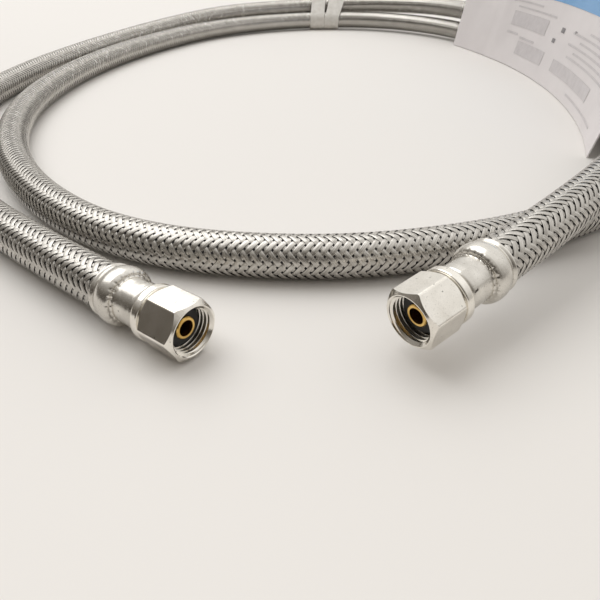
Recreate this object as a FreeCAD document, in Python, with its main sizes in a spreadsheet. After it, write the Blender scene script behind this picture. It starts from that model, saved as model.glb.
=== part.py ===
"""Braided stainless supply line with a swivel compression nut at each end, lying in a loose coil.

Millimetres. +Z is up, Z = 0 is the surface that the line lies on, and the origin is under the middle of
the two end fittings, whose mouths face -Y. Each fitting is drawn in its own frame, with Z = 0 at the
mouth of the nut and +Z running into the fitting, and is then placed at its end of the hose.
"""
import FreeCAD, Part

import math
import os

import Sketcher

from FreeCAD import Placement, Rotation, Vector

doc = FreeCAD.newDocument("BraidedSupplyLine")

# ---------------------------------------------------------------- driving dimensions
SIZES = (
    # swivel nut, 7/16-24 internal thread
    ("across_flats", 12.7),
    ("hex_length", 9.9),
    ("nut_length", 12.8),
    ("collar_radius", 6.0),
    ("bead_radius", 6.6),
    ("bead_start", 10.4),
    ("bead_fillet", 0.9),
    ("bead_front_fillet", 0.45),
    ("corner_fillet", 0.8),
    ("axis", 0.0),
    ("mouth_plane", 0.0),
    ("chamfer_radius", 5.95),
    ("chamfer_outer_radius", 8.0),
    ("mouth_chamfer_depth", 1.75),
    ("back_chamfer_depth", 8.6),
    ("countersink_radius", 5.75),
    ("countersink_depth", 0.75),
    ("thread_minor_radius", 5.0),
    ("thread_root_radius", 5.55),
    ("thread_pitch", 1.058),
    ("thread_length", 6.2),
    ("thread_travel", 8.4),
    ("groove_inner_radius", 4.9),
    ("groove_start", 6.5),
    ("groove_root_start", 6.87),
    ("groove_root_end", 7.13),
    ("groove_end", 7.5),
    ("cavity_radius", 5.6),
    ("cavity_depth", 9.4),
    ("rear_bore_radius", 4.0),
    # brass insert
    ("insert_bore_radius", 1.85),
    ("nose_depth", 2.3),
    ("nose_edge_radius", 2.35),
    ("nose_edge_depth", 2.5),
    ("nose_radius", 2.55),
    ("flange_front", 6.9),
    ("flange_radius", 4.8),
    ("flange_back", 9.2),
    ("shank_radius", 3.9),
    ("crimp_front", 13.3),
    ("crimp_radius", 3.5),
    ("crimp_back", 14.1),
    ("shank_end", 14.6),
    ("barb_radius", 3.15),
    ("barb_root_radius", 2.8),
    ("barb_one_back", 18.2),
    ("barb_two_back", 21.8),
    ("tail_end", 25.4),
    # rubber cone washer
    ("washer_front", 3.1),
    ("washer_bore_radius", 2.3),
    ("washer_face_radius", 4.2),
    ("washer_cone_back", 3.9),
    # crimped ferrule
    ("ferrule_edge_radius", 5.1),
    ("ferrule_edge_depth", 13.8),
    ("neck_radius", 5.6),
    ("neck_bore_radius", 4.95),
    ("neck_end", 19.9),
    ("neck_bore_end", 20.2),
    ("bulge_radius", 7.1),
    ("bulge_bore_radius", 6.6),
    ("bulge_start", 21.0),
    ("bulge_bore_start", 21.3),
    ("bulge_end", 23.9),
    ("bulge_bore_end", 23.8),
    ("lip_radius", 6.5),
    ("lip_bore_radius", 6.05),
    ("ferrule_length", 26.3),
    ("neck_fillet", 0.7),
    ("bulge_fillet", 1.6),
    # hose
    ("hose_radius", 6.0),
    ("braid_bore_radius", 5.0),
    ("tube_radius", 4.9),
    ("tube_bore_radius", 3.2),
    ("braid_start", 6.2),
    ("arc_share", 0.45),
    # where the two fittings lie
    ("left_mouth_x", -21.544),
    ("left_mouth_y", -7.045),
    ("left_mouth_z", 7.1),
    ("left_azimuth", -37.0),
    ("left_tilt", 0.0),
    ("left_corner", 27.0),
    ("right_mouth_x", 21.856),
    ("right_mouth_y", -9.015),
    ("right_mouth_z", 11.3),
    ("right_azimuth", -142.0),
    ("right_tilt", -7.5),
    ("right_corner", -12.0),
    # band that ties the two turns together
    ("band_length", 22.0),
    ("band_width", 13.6),
    ("band_height", 26.35),
    ("band_sheet", 0.3),
    ("band_rounding", 6.75),
    ("band_x", 19.5),
    ("band_y", 411.05),
    ("band_turn", 2.1),
    ("band_lean", 46.7),
    ("band_z", 11.22),
    # folded label card that straddles the two turns
    ("label_centre_x", -172.4),
    ("label_centre_y", 224.2),
    ("label_foot", 0.3),
    ("label_inner_foot", 305.0),
    ("label_inner_back", 305.6),
    ("label_ridge_radius", 317.0),
    ("label_outer_back", 331.0),
    ("label_outer_foot", 331.6),
    ("label_under_ridge", 56.0),
    ("label_height", 58.5),
    ("label_start", -15.0),
    ("label_front_sweep", 37.0),
    ("label_back_start", -3.0),
    ("label_back_sweep", 25.0),
)

sheet = doc.addObject("Spreadsheet::Sheet", "Sizes")
for row, (alias, value) in enumerate(SIZES, start=1):
    sheet.set("A%d" % row, alias.replace("_", " "))
    sheet.set("B%d" % row, str(value))
    sheet.setAlias("B%d" % row, alias)
doc.recompute()


def size(alias):
    """The value of one cell of the sheet."""
    return float(sheet.get(alias))


# Route of the hose between the two fittings. Its first and last two points lie on the fittings' axes and
# are worked out below. It goes once round on the outside, climbs onto the lower turn at the back, comes
# down at the right, runs along the front and round the inside, and rises over itself to the right end.
LEFT_TURN = (
    (-102.1, 60.2, 6), (-133.1, 103.7, 6), (-151.1, 160.7, 6), (-149.1, 224.7, 6.2), (-131.1, 287.7, 7.4),
    (-98.1, 344.7, 10.8), (-58.6, 392.2, 13.8), (2.9, 417.7, 14.8), (64.9, 413.7, 17.4), (112.4, 373.7, 20.4),
    (134.9, 312.7, 20.2), (143.9, 246.7, 20), (146.9, 182.7, 19.4), (150.9, 135.7, 13.5), (136.9, 98.7, 6.4),
    (109.9, 69.7, 6), (80.9, 48.2, 6),
)
RIGHT_TURN = (
    (46.9, 32.1, 6), (2.9, 23.8, 6), (-46.1, 32.3, 6), (-84.1, 65.2, 6), (-113.1, 114.7, 6),
    (-127.1, 175.7, 6), (-122.1, 246.7, 6), (-98.1, 317.7, 6), (-60.1, 375.7, 6.2), (-1.1, 407.7, 6.6),
    (61.9, 405.7, 7.2), (109.9, 370.7, 7.4), (134.9, 312.7, 7), (142.9, 246.7, 6.5), (141.9, 181.7, 6.4),
    (129.9, 123.7, 11.8), (105.4, 71.7, 20.2),
)
HOSE_IN_FERRULE = 14.6
LEFT_STRAIGHT = 57.6
RIGHT_STRAIGHT = 62.4

# Spans of the braid, each with the number of the run at whose middle it ends.
BRAID_SPANS = (
    ("braid_left_end", 3),
    ("braid_outer_left", 7),
    ("braid_back_upper", 10),
    ("braid_right_upper", 14),
    ("braid_front", 20),
    ("braid_inner_left", 25),
    ("braid_back_lower", 29),
    ("braid_right_lower", 33),
    ("braid_right_end", None),
)


# ---------------------------------------------------------------- helpers
def origin_plane(body, role):
    """One of the three origin planes of a body, such as XZ_Plane."""
    for feature in body.Origin.OriginFeatures:
        if feature.Role == role:
            return feature
    raise RuntimeError("no plane " + role)


def new_body(label):
    body = doc.addObject("PartDesign::Body", label)
    body.Label = label
    return body


def new_sketch(body, name, role):
    sketch = body.newObject("Sketcher::SketchObject", name)
    sketch.AttachmentSupport = [(origin_plane(body, role), "")]
    sketch.MapMode = "FlatFace"
    return sketch


def outline(body, name, corners, role="XZ_Plane"):
    """A closed polygon whose corners are pairs of cell names, each coordinate bound to its cell."""
    sketch = new_sketch(body, name, role)
    points = [Vector(size(across), size(up), 0) for across, up in corners]
    count = len(points)
    for i in range(count):
        sketch.addGeometry(Part.LineSegment(points[i], points[(i + 1) % count]), False)
    for i in range(count):
        sketch.addConstraint(Sketcher.Constraint("Coincident", i, 2, (i + 1) % count, 1))
    for i, pair in enumerate(corners):
        for kind, alias in zip(("DistanceX", "DistanceY"), pair):
            index = sketch.addConstraint(Sketcher.Constraint(kind, -1, 1, i, 1, size(alias)))
            sketch.setExpression("Constraints[%d]" % index, "Sizes." + alias)
    sketch.Visibility = False
    return sketch


def turned(body, name, corners, kind="PartDesign::Revolution"):
    """A profile in the XZ plane turned once about Z, added to or cut from the body."""
    sketch = outline(body, name + "Outline", corners)
    feature = body.newObject(kind, name)
    feature.Profile = sketch
    feature.ReferenceAxis = (sketch, ["V_Axis"])
    feature.Angle = 360
    return feature


def rounded(body, name, places, alias):
    """A fillet of one size on the circular edges whose (radius, height) cells are listed."""
    doc.recompute()
    tip = body.Tip
    wanted = [(size(radius), size(height)) for radius, height in places]
    edges = []
    for number, edge in enumerate(tip.Shape.Edges, start=1):
        if not isinstance(edge.Curve, Part.Circle):
            continue
        for radius, height in wanted:
            if abs(edge.Curve.Radius - radius) < 1e-4 and abs(edge.Curve.Center.z - height) < 1e-4:
                edges.append("Edge%d" % number)
    fillet = body.newObject("PartDesign::Fillet", name)
    fillet.Base = (tip, edges)
    fillet.setExpression("Radius", "Sizes." + alias)
    return fillet


def fitting_placement(side):
    """Places a fitting's frame: +Z into the fitting, +X towards a corner of the nut's hexagon."""
    azimuth = math.radians(size(side + "_azimuth"))
    tilt = math.radians(size(side + "_tilt"))
    corner = math.radians(size(side + "_corner"))
    outward = Vector(
        math.cos(azimuth) * math.cos(tilt), math.sin(azimuth) * math.cos(tilt), math.sin(tilt)
    )
    sideways = outward.cross(Vector(0, 0, 1)).normalize()
    upward = sideways.cross(outward)
    inward = outward * -1
    x_axis = upward * math.cos(corner) + sideways * math.sin(corner)
    mouth = Vector(size(side + "_mouth_x"), size(side + "_mouth_y"), size(side + "_mouth_z"))
    return Placement(mouth, Rotation(x_axis, inward.cross(x_axis), inward, "ZXY"))


# ---------------------------------------------------------------- end fittings
def make_nut(label):
    """Hexagonal swivel nut: threaded mouth, cavity for the washer and flange, beaded collar behind."""
    body = new_body(label)
    hexagon = new_sketch(body, label + "Hexagon", "XY_Plane")
    corner_radius = size("across_flats") / math.sqrt(3)
    corners = [
        Vector(corner_radius * math.cos(math.radians(60 * i)), corner_radius * math.sin(math.radians(60 * i)), 0)
        for i in range(6)
    ]
    for i in range(6):
        hexagon.addGeometry(Part.LineSegment(corners[i], corners[(i + 1) % 6]), False)
    for i in range(6):
        hexagon.addConstraint(Sketcher.Constraint("Coincident", i, 2, (i + 1) % 6, 1))
    guide = hexagon.addGeometry(Part.Circle(Vector(0, 0, 0), Vector(0, 0, 1), corner_radius), True)
    hexagon.addConstraint(Sketcher.Constraint("Coincident", guide, 3, -1, 1))
    for i in range(6):
        hexagon.addConstraint(Sketcher.Constraint("PointOnObject", i, 1, guide))
    for i in range(5):
        hexagon.addConstraint(Sketcher.Constraint("Equal", i, i + 1))
    hexagon.addConstraint(Sketcher.Constraint("PointOnObject", 0, 1, -1))
    radius = hexagon.addConstraint(Sketcher.Constraint("Radius", guide, corner_radius))
    hexagon.setExpression("Constraints[%d]" % radius, "Sizes.across_flats / sqrt(3)")
    hexagon.Visibility = False
    pad = body.newObject("PartDesign::Pad", label + "Hex")
    pad.Profile = hexagon
    pad.setExpression("Length", "Sizes.hex_length")
    doc.recompute()
    upright = [
        "Edge%d" % number
        for number, edge in enumerate(pad.Shape.Edges, start=1)
        if abs(edge.tangentAt(edge.FirstParameter).z) > 0.99
    ]
    corners_rounded = body.newObject("PartDesign::Fillet", label + "Corners")
    corners_rounded.Base = (pad, upright)
    corners_rounded.setExpression("Radius", "Sizes.corner_fillet")

    turned(body, label + "Collar", (
        ("thread_minor_radius", "groove_start"),
        ("collar_radius", "groove_start"),
        ("collar_radius", "bead_start"),
        ("bead_radius", "bead_start"),
        ("bead_radius", "nut_length"),
        ("thread_minor_radius", "nut_length"),
    ))
    rounded(body, label + "BeadRounding", (("bead_radius", "nut_length"),), "bead_fillet")
    rounded(body, label + "BeadFrontRounding", (("bead_radius", "bead_start"),), "bead_front_fillet")
    turned(body, label + "MouthChamfer", (
        ("chamfer_radius", "mouth_plane"),
        ("chamfer_outer_radius", "mouth_plane"),
        ("chamfer_outer_radius", "mouth_chamfer_depth"),
    ), "PartDesign::Groove")
    turned(body, label + "BackChamfer", (
        ("collar_radius", "hex_length"),
        ("chamfer_outer_radius", "hex_length"),
        ("chamfer_outer_radius", "back_chamfer_depth"),
    ), "PartDesign::Groove")
    turned(body, label + "Bore", (
        ("axis", "mouth_plane"),
        ("countersink_radius", "mouth_plane"),
        ("thread_minor_radius", "countersink_depth"),
        ("thread_minor_radius", "thread_length"),
        ("cavity_radius", "thread_length"),
        ("cavity_radius", "cavity_depth"),
        ("rear_bore_radius", "cavity_depth"),
        ("rear_bore_radius", "nut_length"),
        ("axis", "nut_length"),
    ), "PartDesign::Groove")
    groove = outline(body, label + "ThreadForm", (
        ("groove_inner_radius", "groove_start"),
        ("thread_root_radius", "groove_root_start"),
        ("thread_root_radius", "groove_root_end"),
        ("groove_inner_radius", "groove_end"),
    ))
    doc.recompute()
    before = body.Tip.Shape.Volume
    thread = body.newObject("PartDesign::SubtractiveHelix", label + "Thread")
    thread.Profile = groove
    thread.ReferenceAxis = (groove, ["V_Axis"])
    thread.Mode = 0
    thread.setExpression("Pitch", "Sizes.thread_pitch")
    thread.setExpression("Height", "Sizes.thread_travel")
    thread.Reversed = True
    doc.recompute()
    print(label, "thread removes %.1f mm3" % (before - body.Shape.Volume))
    return body


def make_insert(label):
    """Brass insert: nose, washer groove, flange that the nut pulls on, shank, crimp groove, barbed tail."""
    body = new_body(label)
    turned(body, label + "Turned", (
        ("insert_bore_radius", "nose_depth"),
        ("nose_edge_radius", "nose_depth"),
        ("nose_radius", "nose_edge_depth"),
        ("nose_radius", "washer_front"),
        ("washer_bore_radius", "washer_front"),
        ("washer_bore_radius", "flange_front"),
        ("flange_radius", "flange_front"),
        ("flange_radius", "flange_back"),
        ("shank_radius", "flange_back"),
        ("shank_radius", "crimp_front"),
        ("crimp_radius", "crimp_front"),
        ("crimp_radius", "crimp_back"),
        ("shank_radius", "crimp_back"),
        ("shank_radius", "shank_end"),
        ("barb_radius", "shank_end"),
        ("barb_root_radius", "barb_one_back"),
        ("barb_radius", "barb_one_back"),
        ("barb_root_radius", "barb_two_back"),
        ("barb_radius", "barb_two_back"),
        ("barb_root_radius", "tail_end"),
        ("insert_bore_radius", "tail_end"),
    ))
    return body


def make_washer(label):
    """Rubber cone washer, snapped into the groove between the nose and the flange."""
    body = new_body(label)
    turned(body, label + "Turned", (
        ("washer_bore_radius", "washer_front"),
        ("washer_face_radius", "washer_front"),
        ("flange_radius", "washer_cone_back"),
        ("flange_radius", "flange_front"),
        ("washer_bore_radius", "flange_front"),
    ))
    return body


def make_ferrule(label):
    """Crimped stainless ferrule: end wall in the insert's groove, neck, bulge over the braid and lip."""
    body = new_body(label)
    turned(body, label + "Turned", (
        ("crimp_radius", "crimp_front"),
        ("ferrule_edge_radius", "crimp_front"),
        ("neck_radius", "ferrule_edge_depth"),
        ("neck_radius", "neck_end"),
        ("bulge_radius", "bulge_start"),
        ("bulge_radius", "bulge_end"),
        ("lip_radius", "ferrule_length"),
        ("lip_bore_radius", "ferrule_length"),
        ("bulge_bore_radius", "bulge_bore_end"),
        ("bulge_bore_radius", "bulge_bore_start"),
        ("neck_bore_radius", "neck_bore_end"),
        ("neck_bore_radius", "crimp_back"),
        ("crimp_radius", "crimp_back"),
    ))
    rounded(body, label + "NeckRounding", (("neck_radius", "neck_end"),), "neck_fillet")
    rounded(body, label + "BulgeRounding", (
        ("bulge_radius", "bulge_start"), ("bulge_radius", "bulge_end")
    ), "bulge_fillet")
    return body


# ---------------------------------------------------------------- hose
def route_points():
    """The whole route, from inside the left ferrule to inside the right one."""
    ends = {}
    for side, straight in (("left", LEFT_STRAIGHT), ("right", RIGHT_STRAIGHT)):
        place = fitting_placement(side)
        ends[side] = [place.multVec(Vector(0, 0, depth)) for depth in (HOSE_IN_FERRULE, straight)]
    middle = [Vector(*point) for point in LEFT_TURN + RIGHT_TURN]
    return ends["left"] + middle + ends["right"][::-1]


def run_pieces(points):
    """For each run of the route, its straight edge cut at the middle, and the arc that follows it."""
    share = size("arc_share")
    lengths = [(points[i + 1] - points[i]).Length for i in range(len(points) - 1)]
    directions = [(points[i + 1] - points[i]).normalize() for i in range(len(points) - 1)]
    starts = [points[0]]
    arcs = []
    radii = []
    for i in range(1, len(points) - 1):
        turn = directions[i - 1].getAngle(directions[i])
        reach = share * min(lengths[i - 1], lengths[i])
        radius = reach / math.tan(turn / 2)
        entry = points[i] - directions[i - 1] * reach
        leave = points[i] + directions[i] * reach
        towards = (directions[i] - directions[i - 1]).normalize()
        middle = points[i] + towards * (radius / math.cos(turn / 2) - radius)
        arcs.append((entry, middle, leave))
        starts.append(leave)
        radii.append(radius)
    ends = [arc[0] for arc in arcs] + [points[-1]]
    return starts, ends, arcs, radii, lengths


def swept(edges, outer_radius, inner_radius, label):
    """A hollow tube along the edges, with its volume compared with section times length."""
    spine = Part.Wire(edges)
    first = edges[0]
    start = first.valueAt(first.FirstParameter)
    heading = first.tangentAt(first.FirstParameter)
    disc, hole = [
        Part.Face(Part.Wire(Part.makeCircle(radius, start, heading))) for radius in (outer_radius, inner_radius)
    ]
    section = disc.cut(hole).Faces[0]
    solid = spine.makePipe(section)
    if solid.ShapeType != "Solid":
        solid = solid.Solids[0]
    expected = section.Area * spine.Length
    print("%-18s %7.1f mm long, volume ratio %.5f" % (label, spine.Length, solid.Volume / expected))
    feature = doc.addObject("Part::Feature", label)
    feature.Label = label
    feature.Shape = solid
    feature.Placement = Placement()
    return feature, spine.Length


def make_hose():
    """The inner tube in one length, and the braid over it in spans that meet end to end."""
    points = route_points()
    starts, ends, arcs, radii, lengths = run_pieces(points)
    print("radii", " ".join("%.0f" % radius for radius in radii))
    print("runs", " ".join("%.0f" % length for length in lengths))
    last = len(lengths) - 1

    def edges_between(first_run, first_point, last_run, last_point):
        edges = []
        here = first_point
        for run in range(first_run, last_run):
            edges.append(Part.LineSegment(here, ends[run]).toShape())
            edges.append(Part.Arc(*arcs[run]).toShape())
            here = starts[run + 1]
        edges.append(Part.LineSegment(here, last_point).toShape())
        return edges

    tube, length = swept(
        edges_between(0, points[0], last, points[-1]),
        size("tube_radius"), size("tube_bore_radius"), "inner_tube",
    )
    print("overall length, mouth to mouth: %.1f mm" % (length + 2 * HOSE_IN_FERRULE))

    pieces = [tube]
    setback = size("braid_start")
    run = 0
    here = points[0] + (points[1] - points[0]).normalize() * setback
    for label, end_run in BRAID_SPANS:
        if end_run is None:
            end_run = last
            end = points[-1] + (points[-2] - points[-1]).normalize() * setback
        else:
            end = (starts[end_run] + ends[end_run]) * 0.5
        span, _ = swept(
            edges_between(run, here, end_run, end),
            size("hose_radius"), size("braid_bore_radius"), label,
        )
        pieces.append(span)
        run = end_run
        here = end
    return pieces


# ---------------------------------------------------------------- band and label
def make_band(label):
    """Thin band round both turns: a rounded box with a smaller rounded box cut out of it."""
    blocks = []
    for name, grow in (("Outer", 0.0), ("Inner", 2.0)):
        box = doc.addObject("Part::Box", label + name)
        box.setExpression("Length", "Sizes.band_length" + (" * 1.5" if grow else ""))
        box.setExpression("Width", "Sizes.band_width - %g * Sizes.band_sheet" % grow)
        box.setExpression("Height", "Sizes.band_height - %g * Sizes.band_sheet" % grow)
        box.Placement = Placement(
            Vector(
                -size("band_length") * (0.75 if grow else 0.5),
                -size("band_width") / 2 + size("band_sheet") * grow / 2,
                -size("band_height") / 2 + size("band_sheet") * grow / 2,
            ),
            Rotation(),
        )
        doc.recompute()
        radius = size("band_rounding") - size("band_sheet") * grow / 2
        fillet = doc.addObject("Part::Fillet", label + name + "Rounded")
        fillet.Base = box
        fillet.Edges = [
            (number, radius, radius)
            for number, edge in enumerate(box.Shape.Edges, start=1)
            if abs(edge.tangentAt(edge.FirstParameter).x) > 0.99
        ]
        blocks.append(fillet)
    band = doc.addObject("Part::Cut", label)
    band.Label = label
    band.Base = blocks[0]
    band.Tool = blocks[1]
    band.Placement = Placement(
        Vector(size("band_x"), size("band_y"), size("band_z")),
        Rotation(Vector(0, 0, 1), size("band_turn")) * Rotation(Vector(1, 0, 0), -size("band_lean")),
    )
    return band


def make_label(label):
    """Folded card: a long front leaf and a shorter back leaf, curved with the turns they straddle."""
    body = new_body(label)
    leaves = (
        ("Front", "label_start", "label_front_sweep", (
            ("label_inner_foot", "label_foot"),
            ("label_inner_back", "label_foot"),
            ("label_ridge_radius", "label_under_ridge"),
            ("label_ridge_radius", "label_height"),
        )),
        ("Back", "label_back_start", "label_back_sweep", (
            ("label_outer_back", "label_foot"),
            ("label_outer_foot", "label_foot"),
            ("label_ridge_radius", "label_height"),
            ("label_ridge_radius", "label_under_ridge"),
        )),
    )
    for name, start, sweep, corners in leaves:
        sketch = outline(body, label + name + "Outline", corners)
        sketch.AttachmentOffset = Placement(Vector(), Rotation(Vector(0, 1, 0), size(start)))
        leaf = body.newObject("PartDesign::Revolution", label + name)
        leaf.Profile = sketch
        leaf.ReferenceAxis = (sketch, ["V_Axis"])
        leaf.setExpression("Angle", "Sizes." + sweep)
        leaf.Reversed = False
    body.Placement = Placement(Vector(size("label_centre_x"), size("label_centre_y"), 0), Rotation())
    return body


# ---------------------------------------------------------------- build and write
parts = []
for side in ("left", "right"):
    fitting = [
        make_nut(side + "_nut"),
        make_insert(side + "_insert"),
        make_washer(side + "_washer"),
        make_ferrule(side + "_ferrule"),
    ]
    for piece in fitting:
        piece.Placement = fitting_placement(side)
    parts.extend(fitting)
parts.extend(make_hose())
parts.append(make_band("tie_band"))
parts.append(make_label("label_card"))
doc.recompute()

for item in doc.Objects:
    if "Invalid" in item.State or "Error" in item.State:
        raise RuntimeError("%s did not build: %s" % (item.Name, item.State))
for piece in parts:
    if piece.Shape.isNull() or not piece.Shape.isValid():
        raise RuntimeError(piece.Label + " is not a valid shape")

os.makedirs("parts", exist_ok=True)
for piece in parts:
    piece.Shape.exportStep("parts/%s.step" % piece.Label)
    box = piece.Shape.BoundBox
    print("%-18s %d solid, %9.1f mm3, z %.2f to %.2f" % (
        piece.Label, len(piece.Shape.Solids), piece.Shape.Volume, box.ZMin, box.ZMax
    ))
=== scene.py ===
"""Looks of the braided supply line: woven steel braid, crimped ferrules, nuts, tie band and folded card."""
import math

import bpy
import numpy as np
from mathutils import Matrix, Vector


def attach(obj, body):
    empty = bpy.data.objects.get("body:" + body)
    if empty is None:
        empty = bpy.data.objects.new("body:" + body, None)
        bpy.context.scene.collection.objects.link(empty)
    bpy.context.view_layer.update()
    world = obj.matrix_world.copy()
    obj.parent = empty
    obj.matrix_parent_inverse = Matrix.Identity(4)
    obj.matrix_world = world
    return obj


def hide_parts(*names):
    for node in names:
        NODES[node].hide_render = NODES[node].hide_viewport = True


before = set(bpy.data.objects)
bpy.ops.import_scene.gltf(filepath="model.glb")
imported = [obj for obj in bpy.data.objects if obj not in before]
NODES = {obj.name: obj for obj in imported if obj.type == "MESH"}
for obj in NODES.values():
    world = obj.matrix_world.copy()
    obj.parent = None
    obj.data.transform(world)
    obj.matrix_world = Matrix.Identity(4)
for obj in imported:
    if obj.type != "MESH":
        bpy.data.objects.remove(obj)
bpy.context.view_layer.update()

scene = bpy.context.scene
LINE = "line"

# ---------------------------------------------------------------- camera
EYE = (0.00031, -0.09921, 0.0785)
DOWN_DEG = 34.49
FOCAL_PX = 564.0
PHOTO_WIDTH_PX = 600.0
SENSOR_MM = 36.0

camera = bpy.data.objects.new("camera", bpy.data.cameras.new("camera"))
scene.collection.objects.link(camera)
camera.data.sensor_width = SENSOR_MM
camera.data.lens = SENSOR_MM * FOCAL_PX / PHOTO_WIDTH_PX
camera.data.clip_start = 0.005
camera.data.clip_end = 20.0
camera.location = EYE
camera.rotation_euler = (math.radians(90.0 - DOWN_DEG), 0.0, 0.0)
scene.camera = camera

# ---------------------------------------------------------------- the hose's line
# Where each fitting lies: mouth centre in metres, then azimuth, tilt and nut corner in degrees.
FITTINGS = {
    "left": ((-0.021544, -0.007045, 0.007100), -37, 0, 27),
    "right": ((0.021856, -0.009015, 0.011300), -142, -7.5, -12),
}
# Distances from a mouth, in metres, of the hose's end and of the route's next point, straight behind it.
HOSE_IN_FERRULE = 0.0146
LEFT_STRAIGHT = 0.0576
RIGHT_STRAIGHT = 0.0624

# The route's points between the fittings, in metres, as in the CAD source.
LEFT_TURN = (
    (-0.1021, 0.0602, 0.0060), (-0.1331, 0.1037, 0.0060), (-0.1511, 0.1607, 0.0060),
    (-0.1491, 0.2247, 0.0062), (-0.1311, 0.2877, 0.0074), (-0.0981, 0.3447, 0.0108),
    (-0.0586, 0.3922, 0.0138), (0.0029, 0.4177, 0.0148), (0.0649, 0.4137, 0.0174),
    (0.1124, 0.3737, 0.0204), (0.1349, 0.3127, 0.0202), (0.1439, 0.2467, 0.0200),
    (0.1469, 0.1827, 0.0194), (0.1509, 0.1357, 0.0135), (0.1369, 0.0987, 0.0064),
    (0.1099, 0.0697, 0.0060), (0.0809, 0.0482, 0.0060),
)
RIGHT_TURN = (
    (0.0469, 0.0321, 0.0060), (0.0029, 0.0238, 0.0060), (-0.0461, 0.0323, 0.0060),
    (-0.0841, 0.0652, 0.0060), (-0.1131, 0.1147, 0.0060), (-0.1271, 0.1757, 0.0060),
    (-0.1221, 0.2467, 0.0060), (-0.0981, 0.3177, 0.0060), (-0.0601, 0.3757, 0.0062),
    (-0.0011, 0.4077, 0.0066), (0.0619, 0.4057, 0.0072), (0.1099, 0.3707, 0.0074),
    (0.1349, 0.3127, 0.0070), (0.1429, 0.2467, 0.0065), (0.1419, 0.1817, 0.0064),
    (0.1299, 0.1237, 0.0118), (0.1054, 0.0717, 0.0202),
)


def fitting_matrix(side):
    """A fitting's own frame: Z = 0 at the nut's mouth, +Z into the fitting, +X to a corner of the nut."""
    mouth, azimuth, tilt, corner = FITTINGS[side]
    a, e, c = (math.radians(v) for v in (azimuth, tilt, corner))
    outward = Vector((math.cos(a) * math.cos(e), math.sin(a) * math.cos(e), math.sin(e)))
    sideways = outward.cross(Vector((0, 0, 1))).normalized()
    upward = sideways.cross(outward)
    x_axis = upward * math.cos(c) + sideways * math.sin(c)
    inward = -outward
    m = Matrix((x_axis, inward.cross(x_axis), inward)).transposed().to_4x4()
    m.translation = Vector(mouth)
    return m


PLACE = {side: fitting_matrix(side) for side in FITTINGS}
route = [PLACE["left"] @ Vector((0, 0, d)) for d in (HOSE_IN_FERRULE, LEFT_STRAIGHT)]
route += [Vector(p) for p in LEFT_TURN + RIGHT_TURN]
route += [PLACE["right"] @ Vector((0, 0, d)) for d in (RIGHT_STRAIGHT, HOSE_IN_FERRULE)]

CORE_RADIUS = 0.0053
CORE_SEGMENTS = 10            # bevel steps in half a turn
CORE_STEPS = 16               # steps along the hose between two points of the route
LINE_STEPS = 48


def spline_object(name, bevel, steps):
    """The route as an order-3 NURBS, a bare line or a round tube."""
    curve = bpy.data.curves.new(name, "CURVE")
    curve.dimensions = "3D"
    spline = curve.splines.new("NURBS")
    spline.points.add(len(route) - 1)
    for point, place in zip(spline.points, route):
        point.co = (*place, 1.0)
    spline.order_u = 3
    spline.use_endpoint_u = True
    spline.resolution_u = steps
    curve.bevel_depth = bevel
    curve.bevel_resolution = CORE_SEGMENTS
    obj = bpy.data.objects.new(name, curve)
    scene.collection.objects.link(obj)
    return obj


thin = spline_object("hose_line", 0.0, LINE_STEPS)
bpy.context.view_layer.update()
evaluated = thin.evaluated_get(bpy.context.evaluated_depsgraph_get())
line_mesh = bpy.data.meshes.new_from_object(evaluated)
raw = np.empty(len(line_mesh.vertices) * 3)
line_mesh.vertices.foreach_get("co", raw)
raw = raw.reshape(-1, 3)
bpy.data.objects.remove(thin)
bpy.data.meshes.remove(line_mesh)

liner = spline_object("hose_core", CORE_RADIUS, CORE_STEPS)


class Line:
    """Points along the hose by distance, with a frame at each that turns as little as it can."""

    def __init__(self, points):
        self.points = points
        steps = np.linalg.norm(np.diff(points, axis=0), axis=1)
        self.s = np.concatenate([[0.0], np.cumsum(steps)])
        self.length = self.s[-1]
        tangent = np.gradient(points, self.s, axis=0)
        tangent /= np.linalg.norm(tangent, axis=1)[:, None]
        side = np.cross(tangent[0], (0.0, 0.0, 1.0))
        side /= np.linalg.norm(side)
        sides = [side]
        for t in tangent[1:]:
            side = side - t * (side @ t)
            side = side / np.linalg.norm(side)
            sides.append(side)
        self.side = np.array(sides)
        self.tangent = tangent
        self.up = np.cross(self.side, tangent)

    def at(self, s, field):
        values = getattr(self, field)
        return np.stack([np.interp(s, self.s, values[:, k]) for k in range(3)], axis=-1)

    def where(self, point):
        return self.s[np.argmin(np.linalg.norm(self.points - np.array(point), axis=1))]


line = Line(raw)


# ---------------------------------------------------------------- materials
def material(name):
    m = bpy.data.materials.new(name)
    m.use_nodes = True
    nodes = m.node_tree.nodes
    return m, nodes, m.node_tree.links, nodes["Principled BSDF"]


def noise(nodes, links, scale, detail=3.0, coord=None, rough=0.5):
    n = nodes.new("ShaderNodeTexNoise")
    n.inputs["Scale"].default_value = scale
    n.inputs["Detail"].default_value = detail
    n.inputs["Roughness"].default_value = rough
    if coord is None:
        coord = nodes.new("ShaderNodeTexCoord").outputs["Object"]
    links.new(coord, n.inputs["Vector"])
    return n.outputs["Fac"]


def ramp(nodes, links, fac, stops):
    r = nodes.new("ShaderNodeValToRGB")
    while len(r.color_ramp.elements) < len(stops):
        r.color_ramp.elements.new(0.5)
    for element, (position, colour) in zip(r.color_ramp.elements, stops):
        element.position = position
        element.color = (*colour, 1.0)
    links.new(fac, r.inputs["Fac"])
    return r.outputs["Color"]


def bump(nodes, links, shader, height, strength, distance):
    b = nodes.new("ShaderNodeBump")
    b.inputs["Strength"].default_value = strength
    b.inputs["Distance"].default_value = distance
    links.new(height, b.inputs["Height"])
    links.new(b.outputs["Normal"], shader.inputs["Normal"])


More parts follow.
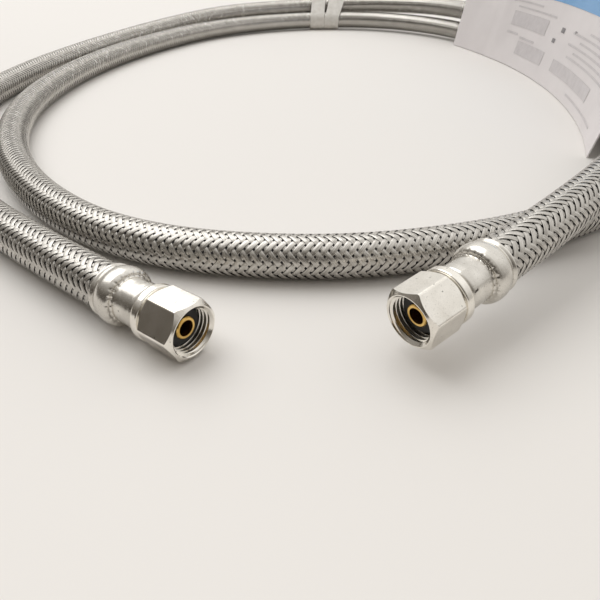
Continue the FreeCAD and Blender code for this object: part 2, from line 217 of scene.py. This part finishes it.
def maths(nodes, links, operation, *operands):
    """A maths node on one or two numbers or sockets."""
    n = nodes.new("ShaderNodeMath")
    n.operation = operation
    for socket, value in zip(n.inputs, operands):
        if isinstance(value, (int, float)):
            socket.default_value = value
        else:
            links.new(value, socket)
    return n.outputs[0]


def multiply(nodes, links, below, above, amount):
    """The colour below darkened by the colour above."""
    mixed = nodes.new("ShaderNodeMixRGB")
    mixed.blend_type = "MULTIPLY"
    mixed.inputs["Fac"].default_value = amount
    links.new(below, mixed.inputs["Color1"])
    links.new(above, mixed.inputs["Color2"])
    return mixed.outputs[0]


RELIEF = 0.00005              # height of the bump in most surfaces, in metres
PIT_STOPS = ((0.20, (0.16, 0.15, 0.14)), (0.25, (1.0, 1.0, 1.0)))
SPECKLE_STOPS = ((0.27, (0.78, 0.77, 0.75)), (0.40, (1.0, 1.0, 1.0)))
SPECKLE_FINENESS = 2.4        # times the scale of the pits
GRAIN_FINENESS = 9.0          # times the scale of the tone


def metal(name, dark, light, roughness, spread, scale, bump_strength=0.08, pits=None):
    """Metal of a slowly wandering tone and a fine grain.

    Where pits gives a scale, it has a few dark pits of that scale and a finer, fainter speckle.
    """
    m, nodes, links, shader = material(name)
    coord = nodes.new("ShaderNodeTexCoord").outputs["Object"]
    slow = noise(nodes, links, scale, 4.0, coord)
    tone = ramp(nodes, links, slow, ((0.3, dark), (0.7, light)))
    if pits is not None:
        dark_pits = ramp(nodes, links, noise(nodes, links, pits, 1.0, coord), PIT_STOPS)
        grit = noise(nodes, links, pits * SPECKLE_FINENESS, 2.0, coord, 0.7)
        speckle = ramp(nodes, links, grit, SPECKLE_STOPS)
        for layer in (dark_pits, speckle):
            tone = multiply(nodes, links, tone, layer, 1.0)
    links.new(tone, shader.inputs["Base Color"])
    shader.inputs["Metallic"].default_value = 1.0
    fine = noise(nodes, links, scale * GRAIN_FINENESS, 5.0, coord, 0.6)
    low, high = roughness - spread, roughness + spread
    rough = ramp(nodes, links, fine, ((0.3, (low,) * 3), (0.75, (high,) * 3)))
    links.new(rough, shader.inputs["Roughness"])
    bump(nodes, links, shader, fine, bump_strength, RELIEF)
    return m


nickel = metal(
    "nickel_plate", (0.80, 0.765, 0.70), (0.91, 0.88, 0.82), 0.19, 0.04, 260.0, 0.10, pits=1150.0
)
brass = metal("turned_brass", (0.62, 0.38, 0.10), (0.86, 0.60, 0.22), 0.24, 0.06, 500.0)
stainless = metal(
    "satin_stainless", (0.60, 0.575, 0.53), (0.76, 0.735, 0.685), 0.25, 0.05, 220.0, 0.06, pits=800.0
)


WIRES = 6                     # side by side in each strip
WIRE_TO_WIRE = 7.31           # how far apart two wires read the noise of their tone
WIRE_TONE_LENGTH = 0.35


def make_braid():
    """Bright fine wires side by side across each strip, each a slightly different tone, with painted shade
    darkening each wire's edges and the gaps between wires.
    """
    m, nodes, links, shader = material("braid_wire")
    uv = nodes.new("ShaderNodeUVMap")
    uv.uv_map = "strip"
    apart = nodes.new("ShaderNodeSeparateXYZ")
    links.new(uv.outputs["UV"], apart.inputs[0])
    across = maths(nodes, links, "MULTIPLY", apart.outputs["X"], float(WIRES))
    wave = maths(nodes, links, "FRACT", across)
    centred = maths(nodes, links, "SUBTRACT", wave, 0.5)
    squared = maths(nodes, links, "MULTIPLY", centred, centred)
    dome = maths(nodes, links, "SUBTRACT", 1.0, maths(nodes, links, "MULTIPLY", squared, 4.0))
    height = maths(nodes, links, "POWER", maths(nodes, links, "MAXIMUM", dome, 0.0), 0.5)
    which = maths(nodes, links, "FLOOR", across)
    place = nodes.new("ShaderNodeCombineXYZ")
    links.new(maths(nodes, links, "MULTIPLY", which, WIRE_TO_WIRE), place.inputs["X"])
    links.new(maths(nodes, links, "MULTIPLY", apart.outputs["Y"], WIRE_TONE_LENGTH), place.inputs["Y"])
    wander = noise(nodes, links, 1.0, 2.0, place.outputs[0])
    tone = ramp(nodes, links, wander, ((0.25, (0.36, 0.34, 0.31)), (0.75, (0.74, 0.715, 0.67))))
    # painted shade: each wire darkens towards its edges and into the gap next to it
    painted_wire_shade = ramp(nodes, links, height, ((0.0, (0.30,) * 3), (0.8, (1.0,) * 3)))
    links.new(multiply(nodes, links, tone, painted_wire_shade, 0.75), shader.inputs["Base Color"])
    shader.inputs["Metallic"].default_value = 1.0
    rough = ramp(nodes, links, wander, ((0.2, (0.20,) * 3), (0.8, (0.30,) * 3)))
    links.new(rough, shader.inputs["Roughness"])
    bump(nodes, links, shader, height, 0.35, 0.00006)
    return m


def make_plain(name, dark, light, roughness, scale, light_from=0.7, bump_strength=0.08, relief=RELIEF):
    """Rubber, plastic or paper: one noise drives both the tone and the relief."""
    m, nodes, links, shader = material(name)
    fac = noise(nodes, links, scale)
    links.new(ramp(nodes, links, fac, ((0.3, dark), (light_from, light))), shader.inputs["Base Color"])
    shader.inputs["Roughness"].default_value = roughness
    bump(nodes, links, shader, fac, bump_strength, relief)
    return m


rubber = make_plain("black_rubber", (0.010,) * 3, (0.028,) * 3, 0.55, 900.0, 0.8, 0.2)
core_material = make_plain("hose_liner", (0.018,) * 3, (0.05,) * 3, 0.6, 700.0, 0.8, 0.15, 0.00004)
braid_material = make_braid()
white_plastic = make_plain("white_band", (0.70, 0.675, 0.625), (0.82, 0.795, 0.75), 0.5, 300.0)
card_white = make_plain("card_white", (0.79, 0.755, 0.76), (0.84, 0.805, 0.81), 0.5, 60.0)
card_grey = make_plain("card_grey", (0.62, 0.59, 0.60), (0.70, 0.67, 0.68), 0.5, 260.0)
card_dark = make_plain("card_dark", (0.22, 0.21, 0.22), (0.34, 0.33, 0.34), 0.5, 500.0)
card_blue = make_plain("card_blue", (0.20, 0.42, 0.72), (0.26, 0.48, 0.78), 0.4, 60.0)


def dress(node, m):
    obj = NODES[node]
    obj.data.materials.clear()
    obj.data.materials.append(m)


for side in FITTINGS:
    dress(side + "_nut", nickel)
    dress(side + "_insert", brass)
    dress(side + "_washer", rubber)


# ---------------------------------------------------------------- mesh helper
def mesh_object(name, points, quads, m, uv=None):
    """A smooth-shaded mesh of quads, made straight from arrays."""
    mesh = bpy.data.meshes.new(name)
    points = np.asarray(points, np.float32)
    quads = np.asarray(quads, np.int32)
    mesh.vertices.add(len(points))
    mesh.vertices.foreach_set("co", points.ravel())
    mesh.loops.add(quads.size)
    mesh.loops.foreach_set("vertex_index", quads.ravel())
    mesh.polygons.add(len(quads))
    mesh.polygons.foreach_set("loop_start", np.arange(0, quads.size, quads.shape[1], dtype=np.int32))
    mesh.polygons.foreach_set("use_smooth", np.full(len(quads), True))
    if uv is not None:
        layer = mesh.uv_layers.new(name="strip")
        layer.data.foreach_set("uv", np.asarray(uv, np.float32)[quads.ravel()].ravel())
    mesh.update(calc_edges=True)
    mesh.validate()
    obj = bpy.data.objects.new(name, mesh)
    scene.collection.objects.link(obj)
    mesh.materials.append(m)
    return obj


# ---------------------------------------------------------------- crimped ferrules
# Distance from the mouth and radius in mm, along the outside to the rear lip and back along the inside.
FERRULE_OUTLINE = (
    (13.3, 4.90), (13.5, 5.35), (14.0, 5.55), (15.5, 5.58), (17.5, 5.50), (19.2, 5.48), (19.75, 5.50),
    (20.0, 5.78), (20.1, 6.30), (20.45, 6.66), (21.0, 6.92), (21.7, 7.05), (22.5, 7.08), (23.2, 7.03),
    (23.9, 6.86), (24.6, 6.58), (25.1, 6.30), (25.35, 6.24), (25.6, 6.42), (25.95, 6.60), (26.3, 6.56),
    (26.4, 6.40), (26.3, 6.16), (25.6, 6.05), (21.4, 6.05), (20.4, 5.50), (14.2, 5.34), (13.6, 4.60),
)
OUTSIDE_ENDS = 22             # the outline's point where its outside turns into its inside
FERRULE_SPACING = 0.07        # mm between points of the smoothed outline
FERRULE_SMOOTHINGS = 5
FERRULE_AROUND = 224
MARKED_FROM, MARKED_FADE = 5.42, 0.06     # radius in mm above which the jaws leave marks
CRIMP_AT = 20.05              # where the jaws bit, mm from the mouth
CRIMP_REACH = 0.42
CRIMP_TEETH = 22
CRIMP_WANDER = 0.35           # radians by which the teeth are out of step
CRIMP_DEPTH = 0.22
NECK_FROM, NECK_TO, NECK_FADE = 13.8, 19.9, 0.8
NECK_FLATS = 8
NECK_FLAT_DEPTH = 0.07


def ferrule(side):
    """Neck, onion-shaped bulge and rolled lip, with the marks of the crimping jaws round the crease."""
    corners = np.array(FERRULE_OUTLINE + FERRULE_OUTLINE[:1])
    run = np.concatenate([[0.0], np.cumsum(np.linalg.norm(np.diff(corners, axis=0), axis=1))])
    count = int(run[-1] / FERRULE_SPACING)
    at = np.linspace(0.0, run[-1], count, endpoint=False)
    z, r = (np.interp(at, run, corners[:, k]) for k in (0, 1))
    for _ in range(FERRULE_SMOOTHINGS):
        z, r = ((np.roll(v, 1) + 2 * v + np.roll(v, -1)) / 4 for v in (z, r))
    outer = np.clip((r - MARKED_FROM) / MARKED_FADE, 0.0, 1.0) * (at < run[OUTSIDE_ENDS])
    theta = np.linspace(0, 2 * math.pi, FERRULE_AROUND, endpoint=False)
    tooth = np.maximum(0.0, np.cos(CRIMP_TEETH * theta + CRIMP_WANDER * np.sin(3 * theta))) ** 2
    bite = np.exp(-(((z - CRIMP_AT) / CRIMP_REACH) ** 2)) * CRIMP_DEPTH * outer
    neck_starts = np.clip((z - NECK_FROM) / NECK_FADE, 0.0, 1.0)
    neck = np.clip((NECK_TO - z) / NECK_FADE, 0.0, 1.0) * neck_starts * outer
    flats = NECK_FLAT_DEPTH * np.abs(np.sin(NECK_FLATS / 2 * theta))
    radius = r[:, None] - bite[:, None] * tooth[None, :] - neck[:, None] * flats[None, :]
    heights = np.broadcast_to(z[:, None], radius.shape)
    local = np.stack([radius * np.cos(theta), radius * np.sin(theta), heights], axis=-1)
    local = local.reshape(-1, 3) / 1000.0
    place = np.array(PLACE[side])
    points = local @ place[:3, :3].T + place[:3, 3]
    i, j = np.meshgrid(np.arange(count), np.arange(FERRULE_AROUND), indexing="ij")
    i_next, j_next = (i + 1) % count, (j + 1) % FERRULE_AROUND
    quads = np.stack([
        i * FERRULE_AROUND + j, i * FERRULE_AROUND + j_next,
        i_next * FERRULE_AROUND + j_next, i_next * FERRULE_AROUND + j,
    ], axis=-1).reshape(-1, 4)
    obj = mesh_object(side + "_ferrule_crimped", points, quads, stainless)
    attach(obj, LINE)
    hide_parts(side + "_ferrule")


for side in FITTINGS:
    ferrule(side)


# ---------------------------------------------------------------- braid
CARRIERS = 12                 # strips each way round
BRAID_RADIUS = 0.00572        # middle of the weave
BRAID_ANGLE = math.radians(53.0)
STRIP_WIDTH = 0.00124
STRIP_THICK = 0.00009
WEAVE_HEIGHT = 0.00013
WEAVE_REPEAT = 4.0            # crossings: over two strips and under two
WEAVE_SHARPNESS = 2.2
WEAVE_PHASE = {1: 0.5, -1: 2.5}           # so that one set is over where the other is under
SAMPLES_PER_CROSSING = 3
CROWN = (-1.0, -0.62, 0.0, 0.62, 1.0)     # points across a strip, in half widths
CROWN_DROP = (0.7, 0.06, 0.0, 0.06, 0.7)  # how far each lies below the strip's top, in thicknesses
UV_PER_TURN = 24              # how fast a strip's tone is read along it
UV_PER_STRIP = 17.3           # and how far apart two strips, or the two sets, read theirs
UV_PER_SET = 300

turn_length = 2 * math.pi * BRAID_RADIUS / math.tan(BRAID_ANGLE)


def weave_height(w):
    """From 1 over to -1 under, as a softened square wave."""
    c = np.cos(2 * math.pi * w / WEAVE_REPEAT)
    return np.tanh(WEAVE_SHARPNESS * c) / math.tanh(WEAVE_SHARPNESS)


def braid_span(node, start, end):
    """Both sets of strips between two distances along the hose, in place of one CAD span."""
    step = turn_length / (2 * CARRIERS) / SAMPLES_PER_CROSSING
    count = max(2, int(round((end - start) / step)))
    s = np.linspace(start, end, count + 1)
    centre, side, up = (line.at(s, field) for field in ("points", "side", "up"))
    tangent = line.at(s, "tangent")
    passed = 2 * s / turn_length * CARRIERS
    across = (np.array(CROWN) + 1) / 2
    points, quads, uvs = [], [], []
    base = 0
    cols = len(CROWN)
    for direction in (1, -1):
        for k in range(CARRIERS):
            theta = 2 * math.pi * k / CARRIERS + direction * 2 * math.pi * s / turn_length
            lift = WEAVE_HEIGHT * weave_height(k + (k + direction * passed) - WEAVE_PHASE[direction])
            radial = side * np.cos(theta)[:, None] + up * np.sin(theta)[:, None]
            around = up * np.cos(theta)[:, None] - side * np.sin(theta)[:, None]
            along = tangent * math.cos(BRAID_ANGLE) + around * (direction * math.sin(BRAID_ANGLE))
            flat = np.cross(along, radial)
            flat /= np.linalg.norm(flat, axis=1)[:, None]
            rows = []
            for c, drop in zip(CROWN, CROWN_DROP):
                half = c * STRIP_WIDTH / 2
                r = BRAID_RADIUS + lift - drop * STRIP_THICK
                p = centre + radial * r[:, None] + flat * half
                # pull the strip's edges back onto the cylinder
                out = p - centre
                out -= tangent * np.sum(out * tangent, axis=1)[:, None]
                size = np.linalg.norm(out, axis=1)
                p = p - out * (1 - (r / size))[:, None]
                rows.append(p)
            grid = np.stack(rows, axis=1).reshape(-1, 3)
            points.append(grid)
            v = s / turn_length * UV_PER_TURN + k * UV_PER_STRIP + (direction > 0) * UV_PER_SET
            uvs.append(np.stack(np.meshgrid(across, v), axis=-1).reshape(-1, 2))
            i = np.arange(count)[:, None] * cols + np.arange(cols - 1)[None, :] + base
            quads.append(np.stack([i, i + 1, i + 1 + cols, i + cols], axis=-1).reshape(-1, 4))
            base += len(grid)
    points, quads, uvs = (np.concatenate(v) for v in (points, quads, uvs))
    obj = mesh_object(node + "_weave", points, quads, braid_material, uvs)
    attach(obj, LINE)
    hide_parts(node)
    return obj


# Each span and the point of the route it ends after, halfway to the next.
BRAID_SPANS = (
    ("braid_left_end", 3), ("braid_outer_left", 7), ("braid_back_upper", 10), ("braid_right_upper", 14),
    ("braid_front", 20), ("braid_inner_left", 25), ("braid_back_lower", 29), ("braid_right_lower", 33),
    ("braid_right_end", None),
)
BRAID_START = 0.0065          # from the hose's end, inside the ferrule

begin = BRAID_START
for node, last in BRAID_SPANS:
    finish = line.length - BRAID_START if last is None else line.where((route[last] + route[last + 1]) / 2)
    braid_span(node, begin, finish)
    begin = finish

liner.data.materials.append(core_material)
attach(liner, LINE)
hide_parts("inner_tube")


# ---------------------------------------------------------------- tie band
# The band's own frame: X along the hose, Y across and Z from the lower turn to the upper.
BAND_CENTRE = (0.0195, 0.41105, 0.01122)
BAND_TURN = math.radians(2.1)
BAND_LEAN = math.radians(46.7)
BAND_APART = 0.0064           # half the distance between the turns
BAND_INNER = 0.00642
BAND_SHEET = 0.00022
BAND_HALF_LENGTH = 0.0112
BAND_AROUND = 220
BAND_ALONG = 26
# The wraps part and lean along the hose from RISE_FROM above the floor, fully so RISE_OVER higher.
RISE_FROM, RISE_OVER = 0.009, 0.011
WRAP_GAP = 0.00005            # half of it, at the floor
WRAP_PARTING = 0.0014         # what the rise adds to it
WRAP_PARTING_POWER = 0.7
WRAP_SPREAD = 0.0010          # what the rise adds to each outer edge
WRAP_SPREAD_RIGHT = 0.0016    # and to the right one besides
WRAP_LEAN = 0.0026            # how far the rise moves both along the hose
CREASE_DEPTH = 0.00009
CREASE_AROUND, CREASE_ACROSS = 4.5, 6.6
WRAP_BULGE = 0.0001           # outwards, midway between a wrap's edges


def tie_wrap(name, sign):
    """One of the two wraps, which meet at the floor and part towards the top."""
    straight, arc = 2 * BAND_APART, math.pi * BAND_INNER
    t = np.linspace(0, 2 * (straight + arc), BAND_AROUND, endpoint=False)
    y, z, ny, nz = (np.empty(BAND_AROUND) for _ in range(4))
    for k, d in enumerate(t):
        if d < straight:
            y[k], z[k], ny[k], nz[k] = -BAND_INNER, -BAND_APART + d, -1, 0
        elif d < straight + arc:
            a = math.pi - (d - straight) / BAND_INNER
            ny[k], nz[k] = math.cos(a), math.sin(a)
            y[k], z[k] = ny[k] * BAND_INNER, BAND_APART + nz[k] * BAND_INNER
        elif d < 2 * straight + arc:
            y[k], z[k], ny[k], nz[k] = BAND_INNER, BAND_APART - (d - straight - arc), 1, 0
        else:
            a = -(d - 2 * straight - arc) / BAND_INNER
            ny[k], nz[k] = math.cos(a), math.sin(a)
            y[k], z[k] = ny[k] * BAND_INNER, -BAND_APART + nz[k] * BAND_INNER
    lean = np.array(Matrix.Rotation(BAND_TURN, 3, "Z") @ Matrix.Rotation(-BAND_LEAN, 3, "X"))
    world_z = BAND_CENTRE[2] + (np.stack([0 * y, y, z], axis=-1) @ lean.T)[:, 2]
    rise = np.clip((world_z - RISE_FROM) / RISE_OVER, 0.0, 1.0)
    near = WRAP_GAP + WRAP_PARTING * rise ** WRAP_PARTING_POWER
    far = BAND_HALF_LENGTH + (WRAP_SPREAD + WRAP_SPREAD_RIGHT * (sign > 0)) * rise
    u = np.linspace(0, 1, BAND_ALONG)
    x = sign * (near[:, None] * (1 - u) + far[:, None] * u) + WRAP_LEAN * rise[:, None]
    crease = CREASE_DEPTH * np.sin(CREASE_AROUND * t[:, None] / BAND_INNER + CREASE_ACROSS * u[None, :])
    layers = []
    for lift in (0.0, BAND_SHEET):
        out = lift + (crease + WRAP_BULGE) * np.sin(math.pi * u)[None, :]
        layers.append(np.stack([x, y[:, None] + ny[:, None] * out, z[:, None] + nz[:, None] * out], axis=-1))
    # the sheet's section runs out along one face and back along the other
    section = np.concatenate([layers[0], layers[1][:, ::-1]], axis=1)
    width = section.shape[1]
    points = section.reshape(-1, 3) @ lean.T + np.array(BAND_CENTRE)
    i, j = np.meshgrid(np.arange(BAND_AROUND), np.arange(width), indexing="ij")
    i_next, j_next = (i + 1) % BAND_AROUND, (j + 1) % width
    quads = np.stack([
        i * width + j, i_next * width + j, i_next * width + j_next, i * width + j_next,
    ], axis=-1).reshape(-1, 4)
    obj = mesh_object(name, points, quads if sign > 0 else quads[:, ::-1], white_plastic)
    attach(obj, LINE)
    return obj


wraps = [tie_wrap("tie_wrap_left", -1.0), tie_wrap("tie_wrap_right", 1.0)]
for wrap in wraps:
    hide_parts("tie_band")

# ---------------------------------------------------------------- folded card and its printing
CARD_CENTRE = (-0.1724, 0.2242)
CARD_STEP = 0.5               # degrees between sections
CARD_TOP = 58.5               # mm above the floor
CARD_ROWS = 12                # up the front leaf, so that it can buckle
BUCKLE_DEPTH = 0.9            # mm
BUCKLE_PHASE = 15.0           # radians of its wave for each radian round the coil
CREASE_AT = 13.3              # degrees, where the card was once folded across
CREASE_WIDTH = 1.6            # degrees
CREASE_IN = 1.1               # mm by which the fold pulls the leaf in, three quarters of the way up
CREASE_FOOT = 0.25            # share of that at the floor
FRONT_WITHIN = 317.4          # points at a smaller radius, in mm, belong to the front leaf
PRINT_LIFT = 0.00010
PRINT_THICK = 0.00008
PRINT_ROW = 0.04              # share of the leaf's height

# First and last angle round the coil in degrees, then the section's radius and height in mm.
FRONT_LEAF = -21.5, 22.0, ((305.0, 0.3), (305.5, 0.3), (317.3, 56.6), (317.3, 58.5), (316.8, 58.5))
BACK_LEAF = -3.0, 22.0, ((331.1, 0.3), (331.6, 0.3), (317.5, 58.5), (317.3, 58.5), (317.3, 56.6))
FRONT_FOOT, FRONT_RISE = (305.0, 0.3), (11.8, 58.2)

# First and last angle, lowest and highest place up the front leaf from 0 to 1.
GREY_PATCHES = (
    (3.6, 11.4, 0.37, 0.50), (2.0, 8.6, 0.13, 0.25), (-12.4, -0.6, 0.14, 0.24), (9.2, 11.6, 0.29, 0.31),
    (5.2, 8.6, 0.27, 0.29), (-16.8, -3.2, 0.30, 0.315), (-18.0, -4.4, 0.345, 0.36),
    (-16.2, -2.4, 0.39, 0.405), (-18.4, -5.0, 0.435, 0.45), (-17.0, -2.6, 0.48, 0.495),
    (-16.0, -6.5, 0.525, 0.54), (-17.0, -6.8, 0.065, 0.08), (2.4, 11.0, 0.535, 0.55),
    (6.0, 12.2, 0.585, 0.60),
)
DARK_PATCHES = ((-0.5, 0.3, 0.45, 0.49), (0.8, 1.5, 0.35, 0.385), (-3.4, -2.9, 0.485, 0.505))
BLUE_PATCHES = ((-21.5, 12.0, 0.665, 0.985),)


def card_sweep(name, strips, m):
    """Closed strips that follow the curve of the card, each a section between two angles."""
    points, faces = [], []
    base = 0
    for first, last, section in strips:
        degrees = np.linspace(first, last, max(2, int((last - first) / CARD_STEP) + 1))
        angles = np.radians(degrees)
        places = []
        for r, z in section:
            up = z / CARD_TOP
            buckle = BUCKLE_DEPTH * up * np.sin(np.radians(BUCKLE_PHASE * degrees)) * (1.0 - up)
            nearness = np.clip(1.0 - np.abs(degrees - CREASE_AT) / CREASE_WIDTH, 0.0, 1.0)
            crease = -CREASE_IN * (CREASE_FOOT + up) * nearness
            reach = (r + (buckle + crease) * (r < FRONT_WITHIN)) / 1000.0
            places.append(np.stack([
                CARD_CENTRE[0] + reach * np.cos(angles), CARD_CENTRE[1] + reach * np.sin(angles),
                np.full(len(angles), z / 1000.0),
            ], axis=-1))
        sides = len(section)
        points.append(np.stack(places, axis=1).reshape(-1, 3))
        for i in range(len(angles) - 1):
            for j in range(sides):
                a, b = base + i * sides + j, base + i * sides + (j + 1) % sides
                faces.append((a, a + sides, b + sides, b))
        base += len(angles) * sides
    start = 0
    for (_, _, section), grid in zip(strips, points):
        sides = len(section)
        faces.append(tuple(start + j for j in range(sides)))
        end = start + len(grid) - sides
        faces.append(tuple(end + j for j in reversed(range(sides))))
        start += len(grid)
    mesh = bpy.data.meshes.new(name)
    mesh.from_pydata(np.concatenate(points).tolist(), [], faces)
    mesh.update(calc_edges=True)
    mesh.materials.append(m)
    obj = bpy.data.objects.new(name, mesh)
    scene.collection.objects.link(obj)
    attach(obj, LINE)
    return obj


def front(up, lift):
    """Radius and height, in mm, of a point on the front leaf's face or in front of it.

    up goes from 0 at the floor to 1 at the top, and lift is the distance off the face in metres.
    """
    return FRONT_FOOT[0] + FRONT_RISE[0] * up - lift * 1000.0, FRONT_FOOT[1] + FRONT_RISE[1] * up


def patch(first, last, low, high):
    """A strip for card_sweep that lies just in front of the front leaf."""
    far = PRINT_LIFT + PRINT_THICK
    rows = max(1, int((high - low) / PRINT_ROW))
    ups = [low + (high - low) * k / rows for k in range(rows + 1)]
    section = [front(u, far) for u in ups] + [front(u, PRINT_LIFT) for u in reversed(ups)]
    return first, last, section


def between(start, end):
    """Points from one corner of a section to another."""
    start, end = np.array(start), np.array(end)
    return [tuple(start + (end - start) * k / CARD_ROWS) for k in range(CARD_ROWS + 1)]


front_from, front_to, (foot, inner_foot, inner_top, fold, top) = FRONT_LEAF
front_section = [*between(inner_foot, inner_top), fold, *between(top, foot)]
card = card_sweep("folded_card", [(front_from, front_to, front_section), BACK_LEAF], card_white)
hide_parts("label_card")
prints = [
    card_sweep("card_print_grey", [patch(*p) for p in GREY_PATCHES], card_grey),
    card_sweep("card_print_dark", [patch(*p) for p in DARK_PATCHES], card_dark),
    card_sweep("card_print_blue", [patch(*p) for p in BLUE_PATCHES], card_blue),
]

# ---------------------------------------------------------------- floor and light
FLOOR_REACH = 4.0
floor_mesh = bpy.data.meshes.new("floor")
floor_corners = [(x * FLOOR_REACH, y * FLOOR_REACH, 0) for x, y in ((-1, -1), (1, -1), (1, 1), (-1, 1))]
floor_mesh.from_pydata(floor_corners, [], [(0, 1, 2, 3)])
floor = bpy.data.objects.new("floor", floor_mesh)
scene.collection.objects.link(floor)
floor_material, _, _, shader = material("floor")
shader.inputs["Base Color"].default_value = (0.80, 0.775, 0.745, 1)
shader.inputs["Roughness"].default_value = 0.6
floor_mesh.materials.append(floor_material)

# The room brightens upwards, towards the back and towards the right: shares of z, y and x, and a start.
SKY_UP, SKY_BACK, SKY_RIGHT, SKY_START = 0.62, 0.36, 0.25, 0.30
DARK_ROOM = (0.060, 0.050, 0.040)
DIM_WALL = (0.19, 0.172, 0.15)
PALE_WALL = (0.66, 0.635, 0.60)
SOFTBOX = (1.12, 1.10, 1.07)
SKY_STRENGTH = 0.93

world = bpy.data.worlds.new("studio")
scene.world = world
world.use_nodes = True
background = world.node_tree.nodes["Background"]
sky_nodes, sky_links = world.node_tree.nodes, world.node_tree.links
heading = sky_nodes.new("ShaderNodeSeparateXYZ")
sky_links.new(sky_nodes.new("ShaderNodeTexCoord").outputs["Generated"], heading.inputs[0])
height = maths(sky_nodes, sky_links, "MULTIPLY", heading.outputs["Z"], SKY_UP)
depth = maths(sky_nodes, sky_links, "MULTIPLY", heading.outputs["Y"], SKY_BACK)
aside = maths(sky_nodes, sky_links, "MULTIPLY", heading.outputs["X"], SKY_RIGHT)
around = maths(sky_nodes, sky_links, "ADD", depth, aside)
slope = maths(sky_nodes, sky_links, "ADD", height, around)
rise = maths(sky_nodes, sky_links, "ADD", slope, SKY_START)
room = ((0.0, DARK_ROOM), (0.25, DIM_WALL), (0.62, PALE_WALL), (0.95, SOFTBOX))
sky_links.new(ramp(sky_nodes, sky_links, rise, room), background.inputs["Color"])
background.inputs["Strength"].default_value = SKY_STRENGTH


KEY_PLACE = Vector((-0.65, 0.75, 1.5))
KEY_TARGET = Vector((0, 0.1, 0))
KEY_WIDTH, KEY_HEIGHT = 1.9, 1.6
KEY_WATTS = 15.5

key = bpy.data.lights.new("key", "AREA")
key.shape = "RECTANGLE"
key.size = KEY_WIDTH
key.size_y = KEY_HEIGHT
key.energy = KEY_WATTS
key_light = bpy.data.objects.new("key", key)
key_light.location = KEY_PLACE
key_light.rotation_mode = "QUATERNION"
key_light.rotation_quaternion = (KEY_TARGET - KEY_PLACE).to_track_quat("-Z", "Y")
scene.collection.objects.link(key_light)

scene.view_settings.view_transform = "Standard"
scene.view_settings.look = "None"
scene.view_settings.exposure = 0.0
